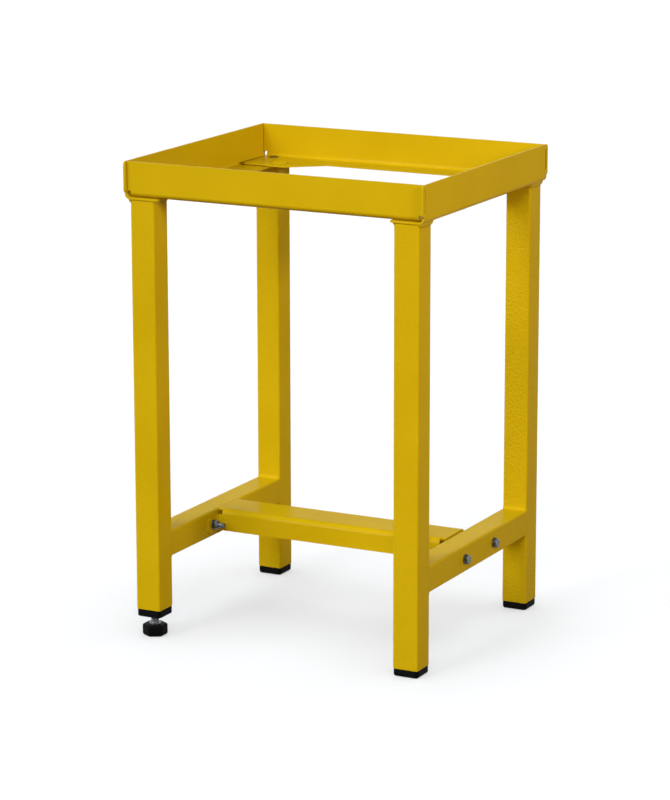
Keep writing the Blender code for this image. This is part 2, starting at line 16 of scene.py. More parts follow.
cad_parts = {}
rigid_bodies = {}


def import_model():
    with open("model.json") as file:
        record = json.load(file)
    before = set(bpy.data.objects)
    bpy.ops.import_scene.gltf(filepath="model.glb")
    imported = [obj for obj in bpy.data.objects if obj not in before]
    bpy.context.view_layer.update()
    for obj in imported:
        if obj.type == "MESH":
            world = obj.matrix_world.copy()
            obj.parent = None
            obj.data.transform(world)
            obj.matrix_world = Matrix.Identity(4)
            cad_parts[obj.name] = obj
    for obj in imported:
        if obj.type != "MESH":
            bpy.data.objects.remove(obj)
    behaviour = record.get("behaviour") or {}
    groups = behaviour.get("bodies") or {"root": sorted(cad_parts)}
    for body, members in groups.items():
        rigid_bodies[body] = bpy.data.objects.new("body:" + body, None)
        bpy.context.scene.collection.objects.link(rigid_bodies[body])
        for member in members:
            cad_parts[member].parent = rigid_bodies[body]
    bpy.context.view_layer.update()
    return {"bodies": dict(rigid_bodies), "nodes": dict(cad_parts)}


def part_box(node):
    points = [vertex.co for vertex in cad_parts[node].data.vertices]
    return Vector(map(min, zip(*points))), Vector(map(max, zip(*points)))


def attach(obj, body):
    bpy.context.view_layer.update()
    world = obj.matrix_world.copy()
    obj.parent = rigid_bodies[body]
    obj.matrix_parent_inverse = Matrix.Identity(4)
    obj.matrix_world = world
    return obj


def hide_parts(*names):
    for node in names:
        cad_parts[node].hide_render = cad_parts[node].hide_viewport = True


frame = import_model()

# %% [markdown]
# ## Camera
#
# A product photograph of a stand this size is taken with a long lens from a few metres, a little from
# the right and from above. A camera could be aimed by eye, but here its place, turn and lens come from
# fitting the stand's own corners, so that every edge falls where it does in the picture.

# %% Place the camera
PHOTO_HEIGHT = 800
FOCAL_LENGTH_IN_PIXELS = 3277.57
SENSOR_MM = 36.0
CAMERA_PLACE = (2.20283, -4.27813, 1.47709)
CAMERA_YAW = 27.32
CAMERA_PITCH = 13.23
CAMERA_ROLL = 0.10

camera_data = bpy.data.cameras.new("camera")
camera_data.sensor_width = SENSOR_MM
camera_data.lens = FOCAL_LENGTH_IN_PIXELS / PHOTO_HEIGHT * SENSOR_MM
camera = bpy.data.objects.new("camera", camera_data)
bpy.context.scene.collection.objects.link(camera)
camera_turn = Euler((math.radians(90 - CAMERA_PITCH), 0, math.radians(CAMERA_YAW))).to_matrix()
camera_turn = camera_turn @ Matrix.Rotation(math.radians(-CAMERA_ROLL), 3, "Z")
camera.matrix_world = Matrix.LocRotScale(Vector(CAMERA_PLACE), camera_turn, None)
bpy.context.scene.camera = camera
print("camera:", round(camera_data.lens, 1), "mm lens")

# %% [markdown]
# ## Node helpers
#
# Finishes and repeated pieces are both made of nodes. These small helpers add a node, set its options,
# and either fill an input with a value or link it to another node's output.


# %% Define the node helpers
FULL = 1.0
HALF = 0.5


def fill(tree, made, inputs):
    """Fill a node's inputs with values, or link them to other nodes' outputs."""
    for key, value in inputs.items():
        if isinstance(value, bpy.types.NodeSocket):
            tree.links.new(value, made.inputs[key])
        else:
            made.inputs[key].default_value = value


def add(tree, kind, inputs=None, **options):
    """Add a node of a kind with its options and inputs."""
    made = tree.nodes.new(kind)
    for name, value in options.items():
        setattr(made, name, value)
    fill(tree, made, inputs or {})
    return made


def reckon(tree, operation, first, second=0.0):
    """Output of one Math node."""
    return add(tree, "ShaderNodeMath", {0: first, 1: second}, operation=operation).outputs[0]


def spread(tree, value, low, high):
    """Spread a value from zero to one over another range."""
    return add(tree, "ShaderNodeMapRange", {"Value": value, "To Min": low, "To Max": high}).outputs[0]


def mix(tree, share, first, second):
    """Colour between two others."""
    return add(tree, "ShaderNodeMix", {0: share, 6: first, 7: second}, data_type="RGBA").outputs[2]


print("node helpers ready")


# %% Define the helpers for finishes
def new_material(name):
    """Start a material, and return it with its tree, its shader and the object's own space."""
    material = bpy.data.materials.new(name)
    material.use_nodes = True
    tree = material.node_tree
    place = add(tree, "ShaderNodeTexCoord").outputs["Object"]
    return material, tree, tree.nodes["Principled BSDF"], place


def ramp(tree, factor, stops, colours):
    """Colour that goes from the first to the second between two stops."""
    made = add(tree, "ShaderNodeValToRGB", {"Fac": factor})
    for element, stop, colour in zip(made.color_ramp.elements, stops, colours):
        element.position = stop
        element.color = (*colour, FULL)
    return made.outputs["Color"]


def cloudy(tree, place, scale, detail, roughness=HALF):
    """Noise with about so many patches to the metre."""
    inputs = {"Vector": place, "Scale": scale, "Detail": detail, "Roughness": roughness}
    return add(tree, "ShaderNodeTexNoise", inputs).outputs["Fac"]


def bumpy(tree, height, distance, over=None):
    """Normal of a face that rises by up to a distance, over another normal if one is given."""
    inputs = {"Height": height, "Distance": distance, "Strength": FULL}
    if over is not None:
        inputs["Normal"] = over
    return add(tree, "ShaderNodeBump", inputs).outputs["Normal"]


print("helpers for finishes ready")

# %% [markdown]
# ## Studio
#
# The stand is shown on white, with a faint soft shadow under it. The floor is a pale diffuse surface
# that also glows for the camera and for reflections, so that it reads as white while the shadow stays.
# The room around it is white to the camera and to reflections in the same way, but adds only a little
# light. The light itself comes from soft lamps: a row of them at the front, a warmer one near the right
# for the side faces, and low ones at the left and behind for the other sides. A thin one at the front
# adds only glints. One more lamp overhead lights the floor alone, which makes the shadow a soft pool,
# and only two of the others light the floor with it, so that no long shadow falls to one side.
#
# When the screw foot is wound out, it reaches lower than the other three feet. Two constraints let the
# floor sink with it, so that the foot is still seen, but never rise into the feet when it is wound in.

# %% Build the floor
FLOOR_RADIUS = 30.0
FLOOR_SIDES = 64
FLOOR_DROP = 0.0003
FLOOR_COLOUR = (0.105, 0.072, 0.035, 1.0)
FLOOR_SEEN_COLOUR = (0.222, 0.228, 0.235, 1.0)
FLOOR_GLOW = 0.45
FLOOR_MIRRORED = 0.36
WHITE = (1.0, 1.0, 1.0, 1.0)


def seen_directly(tree, mirrored=FULL):
    """One where the camera looks, also through glass, a share of it in mirrors, and zero elsewhere."""
    path = add(tree, "ShaderNodeLightPath").outputs
    mirror = reckon(tree, "MULTIPLY", path["Is Glossy Ray"], mirrored)
    eye = reckon(tree, "MAXIMUM", path["Is Camera Ray"], mirror)
    return reckon(tree, "MAXIMUM", eye, path["Is Transmission Ray"])


floor_shape = bmesh.new()
bmesh.ops.create_circle(floor_shape, cap_ends=True, radius=FLOOR_RADIUS, segments=FLOOR_SIDES)
floor_mesh = bpy.data.meshes.new("floor")
floor_shape.to_mesh(floor_mesh)
floor_shape.free()
floor = bpy.data.objects.new("floor", floor_mesh)
floor.location.z = -FLOOR_DROP
bpy.context.scene.collection.objects.link(floor)

floor_material = bpy.data.materials.new("pale_floor")
floor_material.use_nodes = True
tree = floor_material.node_tree
tree.nodes.clear()
glow_strength = reckon(tree, "MULTIPLY", seen_directly(tree, FLOOR_MIRRORED), FLOOR_GLOW)
glow = add(tree, "ShaderNodeEmission", {"Color": WHITE, "Strength": glow_strength})
tint = mix(tree, seen_directly(tree), FLOOR_COLOUR, FLOOR_SEEN_COLOUR)
matt = add(tree, "ShaderNodeBsdfDiffuse", {"Color": tint})
both = add(tree, "ShaderNodeAddShader", {0: glow.outputs[0], 1: matt.outputs[0]})
add(tree, "ShaderNodeOutputMaterial", {"Surface": both.outputs[0]})
floor_mesh.materials.append(floor_material)

follow = floor.constraints.new("COPY_LOCATION")
follow.target = frame["bodies"]["foot_slide"]
follow.use_x = False
follow.use_y = False
follow.use_offset = True
stop = floor.constraints.new("LIMIT_LOCATION")
stop.use_max_z = True
stop.max_z = -FLOOR_DROP
print("floor:", FLOOR_RADIUS, "m radius")

# %% Light the room
ROOM_GREY = 0.09
WARM = (1.0, 0.86, 0.66)
# Each lamp that is far away: degrees right of the front, degrees up, width in degrees, strength
FAR_LAMPS = {
    "front_left_softbox": (-42, 34, 26, 0.96),
    "front_softbox": (-19, 41, 18, 1.07),
    "front_right_softbox": (22, 30, 24, 1.03),
}
# Lamps for the sides that the camera doesn't see, kept low and out of the reflections
SIDE_LAMPS = {
    "left_softbox": (-97, 4, 50, 2.0),
    "back_softbox": (180, 4, 50, 2.6),
}
# A lamp that is seen only in reflections, and one for the floor alone
GLINT_LAMP = (-27, 8, 3, 3.0)
FLOOR_LAMP = (0, 90, 110, 6.9)
# The other lamps that light the floor
FLOOR_SHADOW_LAMPS = ["front_softbox", "front_right_softbox"]
NEAR_LAMP_PLACE = Vector((3.0, -1.15, 1.6))
NEAR_LAMP_AIM = Vector((0, 0, 0.72))
NEAR_LAMP_SIZE = 0.7
NEAR_LAMP_BEAM = 70
NEAR_LAMP_POWER = 7.6


def add_lamp(name, kind, strength, toward):
    """Lamp of a kind that shines from a direction, given as a vector from the stand to the lamp."""
    lamp_data = bpy.data.lights.new(name, kind)
    lamp_data.energy = strength
    lamp = bpy.data.objects.new(name, lamp_data)
    lamp.rotation_euler = toward.to_track_quat("Z", "Y").to_euler()
    bpy.context.scene.collection.objects.link(lamp)
    return lamp


def add_far_lamp(name, turn, rise, width, strength):
    """Lamp so far away that its light comes from one direction, spread over a width."""
    toward = Euler((math.radians(90 - rise), 0, math.radians(turn))).to_matrix() @ Vector((0, 0, 1))
    lamp = add_lamp(name, "SUN", strength, toward)
    lamp.data.angle = math.radians(width)
    return lamp


def linked_to_floor(name, state):
    """Collection for a lamp's light linking that includes or excludes the floor."""
    linked = bpy.data.collections.new(name)
    linked.objects.link(floor)
    linked.collection_objects[0].light_linking.link_state = state
    return linked


for name, values in FAR_LAMPS.items():
    add_far_lamp(name, *values)
for name, values in SIDE_LAMPS.items():
    add_far_lamp(name, *values).visible_glossy = False
add_far_lamp("glint_lamp", *GLINT_LAMP).visible_diffuse = False
near_lamp = add_lamp("right_softbox", "AREA", NEAR_LAMP_POWER, NEAR_LAMP_PLACE - NEAR_LAMP_AIM)
near_lamp.location = NEAR_LAMP_PLACE
near_lamp.data.size = NEAR_LAMP_SIZE
near_lamp.data.spread = math.radians(NEAR_LAMP_BEAM)
near_lamp.data.color = WARM
floor_lamp = add_far_lamp("floor_softbox", *FLOOR_LAMP)
lamps = [thing for thing in bpy.context.scene.objects if thing.type == "LIGHT"]
without_floor = linked_to_floor("all_but_floor", "EXCLUDE")
for lamp in lamps:
    if lamp.name not in FLOOR_SHADOW_LAMPS:
        lamp.light_linking.receiver_collection = without_floor
floor_lamp.light_linking.receiver_collection = linked_to_floor("floor_only", "INCLUDE")

world = bpy.data.worlds.new("room")
world.use_nodes = True
tree = world.node_tree
room_strength = reckon(tree, "MAXIMUM", seen_directly(tree), ROOM_GREY)
fill(tree, tree.nodes["Background"], {"Color": WHITE, "Strength": room_strength})
bpy.context.scene.world = world
bpy.context.scene.view_settings.view_transform = "Standard"
print("lamps:", ", ".join(lamp.name for lamp in lamps))

# %% [markdown]
# ## Yellow powder coat
#
# Powder coat melts into a thick skin with a fine waviness called orange peel, coarser on the tubes
# than on the smooth sheet, and coarsest on one leg. A picture of the texture could be wrapped on, but
# noise in the object's own space needs no unwrapping and never stretches. Slow noise varies the yellow
# a little and faster noise makes the waves. The cut edges, where the skin pulls thin, are painted a
# duller orange, which is partly that thin skin and partly painted shade along the edges.

# %% Make the paint
YELLOW_DEEP = (0.584, 0.394, 0.0035)
YELLOW_BRIGHT = (0.611, 0.419, 0.0045)
# Duller orange for the cut edges: partly the thin skin there, partly painted shade along the edges
YELLOW_THIN_AND_EDGE_SHADE = (0.45, 0.310, 0.022, 1.0)
YELLOW_STOPS = (0.35, 0.65)
PAINT_GLOSS = (0.17, 0.27)
PAINT_SPECULAR = 0.010
CLOUD_SCALE = 9.0
CLOUD_DETAIL = 4.0
PATCH_SCALE = 260.0
FINE_DETAIL = 2.0
PEEL_ROUGHNESS = 0.45
GRAIN_SCALE = 190.0
GRAIN_RADIUS = 0.22
# Each coat: waves to the metre, height of the waves, height of the fine grains
PAINTS = {
    "yellow_coat_on_sheet": (640.0, 0.00005, 0.00006),
    "yellow_coat_on_tube": (300.0, 0.00048, 0.00003),
    "yellow_coat_on_rough_tube": (280.0, 0.00110, 0.00003),
    "yellow_coat_on_weld": (420.0, 0.00030, 0.00008),
}


def make_paint(name, peel_scale, peel_height, grain_height):
    """Yellow coat with waves and fine grains."""
    material, tree, shader, place = new_material(name)
    cloud = cloudy(tree, place, CLOUD_SCALE, CLOUD_DETAIL)
    yellow = ramp(tree, cloud, YELLOW_STOPS, (YELLOW_DEEP, YELLOW_BRIGHT))
    edge = add(tree, "ShaderNodeAttribute", attribute_name="edge").outputs["Fac"]
    # Cut edges turn towards that colour in patches, as thin skin and as painted edge shade
    thin_and_edge_shade = reckon(tree, "MULTIPLY", edge, cloudy(tree, place, PATCH_SCALE, FINE_DETAIL))
    peel = cloudy(tree, place, peel_scale, FINE_DETAIL, PEEL_ROUGHNESS)
    waves = bumpy(tree, peel, peel_height)
    cells = add(tree, "ShaderNodeTexVoronoi", {"Vector": place, "Scale": GRAIN_SCALE})
    grain = add(
        tree, "ShaderNodeMapRange",
        {"Value": cells.outputs["Distance"], "From Max": GRAIN_RADIUS, "To Min": FULL, "To Max": 0.0},
        interpolation_type="SMOOTHSTEP",
    )
    surface = {
        "Base Color": mix(tree, thin_and_edge_shade, yellow, YELLOW_THIN_AND_EDGE_SHADE),
        "Normal": bumpy(tree, grain.outputs[0], grain_height, waves),
        "Roughness": spread(tree, cloud, *PAINT_GLOSS),
        "Specular IOR Level": spread(tree, edge, PAINT_SPECULAR, 0.0),
    }
    fill(tree, shader, surface)
    return material


SHEET_PAINT, TUBE_PAINT, ROUGH_TUBE_PAINT, WELD_PAINT = [
    make_paint(name, *values) for name, values in PAINTS.items()
]
print("paint:", ", ".join(PAINTS))

# %% [markdown]
# ## Black plastic and zinc
#
# The caps and the foot are moulded in black plastic with a faint eroded grain. The bolts, nuts,
# washers and stud are bright zinc, slightly blue and unevenly cloudy, and the inserts are zinc with a
# yellow passivation that drifts towards olive. One function makes them all: slow noise for the colour
# and the gloss, and fast noise for the relief.

# %% Make the plastic and the zinc
BLACKS = ((0.0020, 0.0020, 0.0022), (0.0040, 0.0040, 0.0044))
BLUE_GREYS = ((0.075, 0.088, 0.10), (0.23, 0.255, 0.28))
OLIVE_YELLOWS = ((0.07, 0.055, 0.016), (0.20, 0.17, 0.07))
# A cloud has a scale, a detail and, if it isn't half, a roughness.
# A relief has a scale, a detail and a height.
PLASTIC_LOOK = {
    "stops": (0.3, 0.7), "cloud": (60.0, 3.0), "relief": (1900.0, 2.0, 0.00003), "gloss": (0.36, 0.48),
    "shine": {"Specular IOR Level": 0.025},
}
PLATED_LOOK = {
    "stops": (0.32, 0.68), "cloud": (240.0, 4.0, 0.6), "relief": (1400.0, 2.0, 0.00002),
    "gloss": (0.20, 0.36), "shine": {"Metallic": 1.0},
}


def make_finish(name, colours, stops, cloud, relief, gloss, shine):
    """Finish whose colour and gloss drift together, over a fine relief."""
    material, tree, shader, place = new_material(name)
    drift = cloudy(tree, place, *cloud)
    scale, detail, height = relief
    surface = {
        "Base Color": ramp(tree, drift, stops, colours),
        "Normal": bumpy(tree, cloudy(tree, place, scale, detail), height),
        "Roughness": spread(tree, drift, *gloss),
        **shine,
    }
    fill(tree, shader, surface)
    return material


BLACK_PLASTIC = make_finish("black_plastic_moulded", BLACKS, **PLASTIC_LOOK)
ZINC = make_finish("bright_zinc", BLUE_GREYS, **PLATED_LOOK)
PASSIVATED_ZINC = make_finish("passivated_zinc", OLIVE_YELLOWS, **PLATED_LOOK)
print("plastic and plating ready")

# %% [markdown]
# ## Soft edges
#
# No painted or moulded edge is razor sharp. The solids could be modelled again with rounded edges, but
# a merged copy of each imported solid with a small bevel on its sharp edges is exact and quick. The
# bevelled strips carry an attribute named edge, which the paint reads to show its thin places, together
# with painted shade along the edges.


# %% Define the softened copy
MERGE = 0.00001
SHARP = math.radians(30)
FLAT = math.radians(0.5)
FULL_WEIGHT = 100
ROUND_PROFILE = 0.5


def to_mesh(shape, name):
    """Turn a working shape into a mesh, and free it."""
    mesh = bpy.data.meshes.new(name)
    shape.to_mesh(mesh)
    shape.free()
    return mesh


def finish_piece(mesh, name, material, body="stand", replaced=()):
    """Put a mesh into the scene as a smooth piece that rides on a body and stands for CAD nodes."""
    mesh.shade_smooth()
    mesh.materials.clear()
    mesh.materials.append(material)
    piece = bpy.data.objects.new(name, mesh)
    bpy.context.scene.collection.objects.link(piece)
    piece.modifiers.new("weighted", "WEIGHTED_NORMAL").weight = FULL_WEIGHT
    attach(piece, body)
    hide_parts(*replaced)
    return piece


def merged_copy(node):
    """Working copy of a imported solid, with doubled points merged and flat faces joined."""
    source = frame["nodes"][node].data
    shape = bmesh.new()
    points = [shape.verts.new(vertex.co) for vertex in source.vertices]
    for face in source.polygons:
        shape.faces.new([points[index] for index in face.vertices])
    bmesh.ops.remove_doubles(shape, verts=shape.verts, dist=MERGE)
    bmesh.ops.dissolve_limit(shape, angle_limit=FLAT, verts=shape.verts, edges=shape.edges)
    return shape


def round_edges(shape, width, segments):
    """Bevel the sharp edges, and mark the new strips in the edge attribute."""
    layer = shape.faces.layers.float.new("edge")
    sharp = [edge for edge in shape.edges if edge.is_manifold and edge.calc_face_angle() > SHARP]
    strips = bmesh.ops.bevel(
        shape, geom=sharp, offset=width, offset_type="OFFSET", segments=segments,
        profile=ROUND_PROFILE, affect="EDGES", clamp_overlap=True,
    )
    for face in strips["faces"]:
        face[layer] = FULL
    return shape


def soften(node, material, width, segments, body="stand"):
    """Dress a node in a copy of itself with rounded edges."""
    mesh = to_mesh(round_edges(merged_copy(node), width, segments), node)
    return finish_piece(mesh, node + "_dressed", material, body, [node])


print("softened copy ready")

# %% [markdown]
# ## Painted pieces
#
# The tray rails and the cross rail are folded from 3 mm sheet, and the legs and lower rails are square
# tube. The sheet gets a slightly wider bevel, because its cut edges are deburred before painting.

# %% Dress the painted pieces
SHEET_BEVEL = 0.0005
TUBE_BEVEL = 0.0004
EDGE_SEGMENTS = 2
CORNERS = ["front_left", "front_right", "rear_left", "rear_right"]
SHEET_NODES = [
    "tray_side_rail_left", "tray_side_rail_right", "tray_front_rail", "tray_rear_rail", "cross_rail",
]
TUBE_NODES = ["leg_" + corner for corner in CORNERS] + ["lower_rail_left", "lower_rail_right"]

for node in SHEET_NODES:
    soften(node, SHEET_PAINT, SHEET_BEVEL, EDGE_SEGMENTS)
for node in TUBE_NODES:
    paint = ROUGH_TUBE_PAINT if node == "leg_rear_right" else TUBE_PAINT
    soften(node, paint, TUBE_BEVEL, EDGE_SEGMENTS)
print("painted pieces:", len(SHEET_NODES) + len(TUBE_NODES))

# %% [markdown]
# ## Welds round the tubes
#
# A tube is welded all round where it meets another piece, and the paint levels the bead into a smooth
# fillet. A swept curve would give the same section everywhere, but these welds change on their way
# round: hollow where two faces meet square, and level where the sides are flush. So each weld is a
# closed ring of sections, one for every point of the tube's outline, with a little noise in its face.

# %% Define the tube outline, the ring and the loft
TUBE = 0.040
TUBE_CORNER = 0.003
SIDE_STEPS = 8
CORNER_STEPS = 5
WELD_DEPTH = 0.0008
WELD_STEPS = 6
WELD_WAVE = 0.00012
WELD_WAVE_SCALE = 330.0
RING_POINTS = 48


def tube_outline():
    """Points round a tube's section, each with its outward direction."""
    flat = TUBE / 2 - TUBE_CORNER
    stations = []
    for quarter in range(4):
        turn = Matrix.Rotation(quarter * math.pi / 2, 2)
        for step in range(SIDE_STEPS):
            along = flat * (2 * step / SIDE_STEPS - 1)
            stations.append((turn @ Vector((TUBE / 2, along)), turn @ Vector((1, 0))))
        for step in range(CORNER_STEPS):
            angle = math.pi / 2 * step / CORNER_STEPS
            out = Vector((math.cos(angle), math.sin(angle)))
            stations.append((turn @ (Vector((flat, flat)) + out * TUBE_CORNER), turn @ out))
    return stations


def ring(height, limit, flats=None, count=RING_POINTS):
    """Points at one height: a circle, or a hexagon kept inside that circle."""
    points = []
    for index in range(count):
        angle = 2 * math.pi * index / count
        radius = limit
        if flats is not None:
            radius = min(limit, flats / 2 / math.cos(angle % (math.pi / 3) - math.pi / 6))
        points.append((radius * math.cos(angle), radius * math.sin(angle), height))
    return points


def loft(rings, bored=False):
    """Closed body through rings of equal count. A bored one joins its last ring to its first."""
    shape = bmesh.new()
    rows = [[shape.verts.new(point) for point in points] for points in rings]
    pairs = list(zip(rows, rows[1:]))
    if bored:
        pairs.append((rows[-1], rows[0]))
    else:
        shape.faces.new(rows[0])
        shape.faces.new(rows[-1])
    for lower, upper in pairs:
        for index, point in enumerate(lower):
            after = (index + 1) % len(lower)
            shape.faces.new((point, lower[after], upper[after], upper[index]))
    bmesh.ops.recalc_face_normals(shape, faces=shape.faces)
    return shape


def wave(point):
    """Unevenness of a weld's face at a point, in metres."""
    return WELD_WAVE * noise.noise(Vector(point) * WELD_WAVE_SCALE)


print("outline:", len(tube_outline()), "points")

# %% Weld the lower rails to the legs
RAIL_FILLET = 0.0042
FLUSH = 0.00006


def corner_recess(across):
    """How far a leg's rounded corner falls back from its face, at a distance from the tube's middle."""
    into_corner = min(max(abs(across) - (TUBE / 2 - TUBE_CORNER), 0), TUBE_CORNER)
    return TUBE_CORNER - math.sqrt(TUBE_CORNER**2 - into_corner**2)


def rail_weld_section(place, out, middle, face, inward):
    """One section: hollow above and below the rail, flush with the leg's side beside it."""
    square = out.y**2
    height = RAIL_FILLET * square + FLUSH
    end = -corner_recess(place.x + out.x * height)
    curve = []
    for step in range(WELD_STEPS + 1):
        angle = math.pi / 2 * step / WELD_STEPS
        away = RAIL_FILLET + (end - RAIL_FILLET) * math.sin(angle)
        curve.append((away, height * (1 - math.cos(angle))))
    sunk = WELD_DEPTH * square
    curve.append((end - sunk, height - WELD_DEPTH * (1 - square)))
    curve.append((end - sunk, -WELD_DEPTH))
    curve.append((RAIL_FILLET, -WELD_DEPTH))
    section = []
    for index, (away, lift) in enumerate(curve):
        point = Vector((middle.x + place.x, face + inward * away, middle.z + place.y))
        if 0 < index < WELD_STEPS:
            lift += wave(point) * square
        section.append(point + Vector((out.x, 0, out.y)) * lift)
    return section


rail_welds = 0
for rail in ("lower_rail_left", "lower_rail_right"):
    low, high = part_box(rail)
    middle = (low + high) / 2
    for end_name, face, inward in (("front", low.y, 1), ("rear", high.y, -1)):
        sections = [rail_weld_section(place, out, middle, face, inward) for place, out in tube_outline()]
        name = rail.replace("lower_rail", "rail_weld_" + end_name)
        finish_piece(to_mesh(loft(sections, bored=True), name), name, WELD_PAINT)
        rail_welds += 1
print("rail welds:", rail_welds)

# %% Weld the legs to the tray
# Reach and drop of the weld on each side of a leg: outside, inside, towards the middle, at the end
WELD_OUTSIDE = Vector((0.0039, 0.0062))
WELD_INSIDE = Vector((0.0031, 0.0056))
WELD_INWARD = Vector((0.0031, 0.0054))
WELD_END = Vector((0.0011, 0.0014))
HOLLOW = 0.03
OUTSIDE_BULGE = 0.35
BEND_OUTER = 0.008
TRAY_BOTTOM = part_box("tray_side_rail_right")[0].z
BEND_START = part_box("tray_side_rail_right")[1].x - BEND_OUTER


def tray_underside(x):
    """Height of the tray's lower face, which bends up at the outside."""
    past = min(max(abs(x) - BEND_START, 0), BEND_OUTER)
    return TRAY_BOTTOM + BEND_OUTER - math.sqrt(BEND_OUTER**2 - past**2)


def leg_weld_section(place, out, middle, side, end):
    """One section of the weld under the tray, with the leg's outside to +X and its end to -Y."""
    across = WELD_OUTSIDE if out.x > 0 else WELD_INSIDE
    along = WELD_INWARD if out.y > 0 else WELD_END
    reach, drop = across * out.x**2 + along * out.y**2
    fullness = OUTSIDE_BULGE * max(out.x, 0) ** 2 - HOLLOW
    ground = Vector((middle.x + side * place.x, middle.y - end * place.y, 0))
    outward = Vector((side * out.x, -end * out.y, 0))
    top = tray_underside((ground + outward * reach).x)
    bottom = TRAY_BOTTOM - drop
    section = [ground - outward * WELD_DEPTH + Vector((0, 0, bottom))]
    for step in range(WELD_STEPS + 1):
        share = step / WELD_STEPS
        bulge = fullness * reach * math.sin(math.pi * share)
        height = bottom + (top - bottom) * share
        point = ground + outward * (reach * share + bulge) + Vector((0, 0, height))
        section.append(point + outward * wave(point) * math.sin(math.pi * share))
    section.append(ground + outward * reach + Vector((0, 0, top + WELD_DEPTH)))
    section.append(ground - outward * WELD_DEPTH + Vector((0, 0, TRAY_BOTTOM + WELD_DEPTH)))
    return section


for corner in CORNERS:
    low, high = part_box("leg_" + corner)
    middle = (low + high) / 2
    side = 1 if middle.x > 0 else -1
    end = 1 if middle.y > 0 else -1
    sections = [leg_weld_section(place, out, middle, side, end) for place, out in tube_outline()]
    name = "leg_weld_" + corner
    finish_piece(to_mesh(loft(sections, bored=True), name), name, WELD_PAINT)
print("leg welds:", len(CORNERS))

# %% [markdown]
# ## Pieces that repeat or follow a path
#
# Bolts, threads and thin weld beads are grown with Geometry Nodes. Copying objects would also work,
# but a tree keeps the sizes as named inputs: one tree winds a thread, one sets a piece out at the four
# corners, and one runs a rippled bead along a line. Each result is turned into a plain mesh at once.


# %% Define the growing helpers
def new_tree(name, sizes):
    """Start a tree with a geometry input, named sizes and a material, and return it with its inputs."""
    tree = bpy.data.node_groups.new(name, "GeometryNodeTree")
    tree.interface.new_socket("Geometry", in_out="INPUT", socket_type="NodeSocketGeometry")
    for size in sizes:
        tree.interface.new_socket(size, in_out="INPUT", socket_type="NodeSocketFloat")
    tree.interface.new_socket("Material", in_out="INPUT", socket_type="NodeSocketMaterial")
    tree.interface.new_socket("Geometry", in_out="OUTPUT", socket_type="NodeSocketGeometry")
    return tree, add(tree, "NodeGroupInput").outputs


def end_tree(tree, inputs, geometry):
    """End a tree with real geometry that has the material."""
    whole = add(tree, "GeometryNodeRealizeInstances", {0: geometry}).outputs[0]
    dressed = add(tree, "GeometryNodeSetMaterial", {"Geometry": whole, "Material": inputs["Material"]})
    add(tree, "NodeGroupOutput", {0: dressed.outputs[0]})


def transform(tree, geometry, way, x=0.0, y=0.0, z=0.0):
    """Move or scale geometry by three sizes, with Translation or Scale as the way."""
    sizes = add(tree, "ShaderNodeCombineXYZ", {0: x, 1: y, 2: z}).outputs[0]
    return add(tree, "GeometryNodeTransform", {"Geometry": geometry, way: sizes}).outputs[0]


def grow(name, start, tree, material, sizes):
    """Run a tree on a mesh with the given sizes, and return the result as a plain mesh."""
    seed = bpy.data.objects.new(name, start)
    bpy.context.scene.collection.objects.link(seed)
    modifier = seed.modifiers.new(name, "NODES")
    modifier.node_group = tree
    values = {"Material": material, **sizes}
    for socket in tree.interface.items_tree:
        if socket.name in values:
            modifier[socket.identifier] = values[socket.name]
    evaluated = seed.evaluated_get(bpy.context.evaluated_depsgraph_get())
    grown = bpy.data.meshes.new_from_object(evaluated)
    bpy.data.objects.remove(seed)
    bpy.data.meshes.remove(start)
    return grown


print("growing helpers ready")

# %% Build the thread tree
THREAD_TURN_POINTS = 20
RIDGE_CORNERS = 4
RIDGE_SHARE = 0.48

thread_tree, inputs = new_tree("thread", ["Outer Radius", "Pitch", "Depth", "Start", "Length"])
root = reckon(thread_tree, "SUBTRACT", inputs["Outer Radius"], inputs["Depth"])
spiral = add(
    thread_tree, "GeometryNodeCurveSpiral",
    {
        "Resolution": THREAD_TURN_POINTS,
        "Rotations": reckon(thread_tree, "DIVIDE", inputs["Length"], inputs["Pitch"]),
        "Start Radius": root,
        "End Radius": root,
        "Height": inputs["Length"],
    },
)
upright = add(thread_tree, "GeometryNodeSetCurveNormal", {"Curve": spiral.outputs[0]}, mode="Z_UP")
half_pitch = reckon(thread_tree, "MULTIPLY", inputs["Pitch"], RIDGE_SHARE)
ridge = add(
    thread_tree, "GeometryNodeCurvePrimitiveCircle", {"Resolution": RIDGE_CORNERS, "Radius": FULL}
)
ridge = transform(thread_tree, ridge.outputs[0], "Scale", inputs["Depth"], half_pitch, FULL)
winding = add(
    thread_tree, "GeometryNodeCurveToMesh",
    {"Curve": upright.outputs[0], "Profile Curve": ridge, "Fill Caps": True},
)
winding = transform(thread_tree, winding.outputs[0], "Translation", z=inputs["Start"])
joined = add(thread_tree, "GeometryNodeJoinGeometry", {0: winding})
thread_tree.links.new(inputs["Geometry"], joined.inputs[0])
end_tree(thread_tree, inputs, joined.outputs[0])
print("thread tree:", len(thread_tree.nodes), "nodes")

